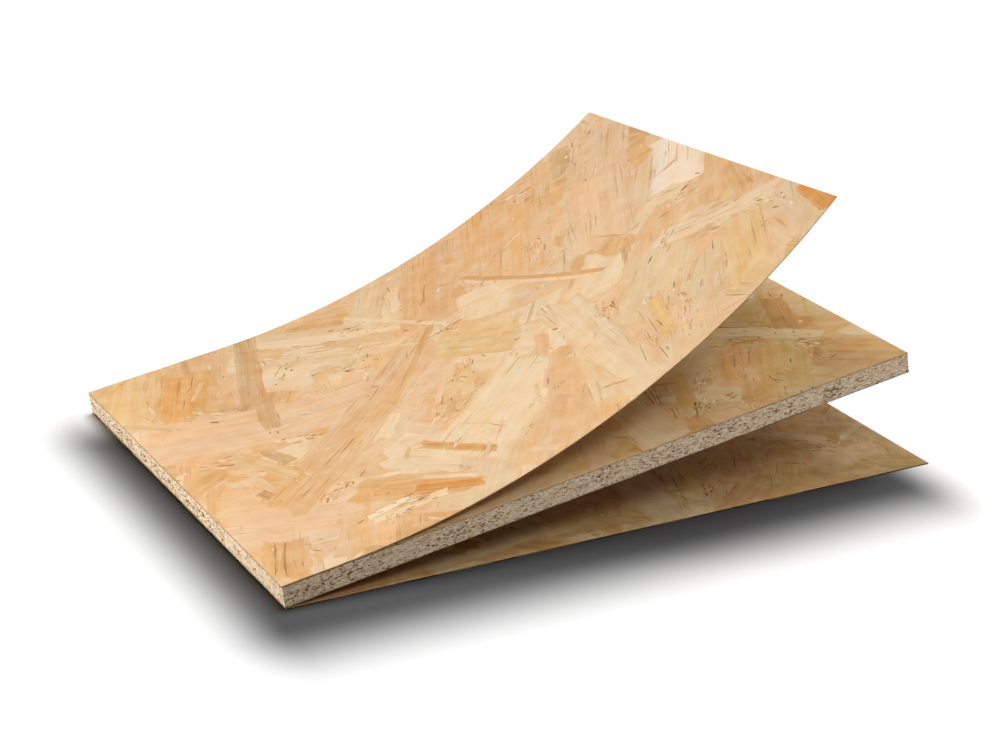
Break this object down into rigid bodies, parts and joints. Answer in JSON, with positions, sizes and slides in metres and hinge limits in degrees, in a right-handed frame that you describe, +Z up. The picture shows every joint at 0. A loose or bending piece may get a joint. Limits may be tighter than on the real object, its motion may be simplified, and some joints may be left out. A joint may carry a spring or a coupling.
{
  "type": "fanned osb panel stack",
  "caption": "Layered strand-faced board fanned open: a thick chipboard core leaning up from a flat bottom sheet, with a thin top sheet peeling up from it.",
  "frame": {"origin": "middle of the bottom sheet's underside, where it lies on the floor", "axes": "+X along the boards, from the joined end to the open end; +Y across them; +Z up"},
  "size_m": [0.5206, 0.375, 0.2221],
  "materials": {
    "strand_sheet": "pressed wood strands, matt",
    "chip_core": "sawn chipboard edge, matt"
  },
  "bodies": {
    "root": {"top_sheet": "strand_sheet", "core_board": "chip_core", "bottom_sheet": "strand_sheet"}
  },
  "joints": []
}
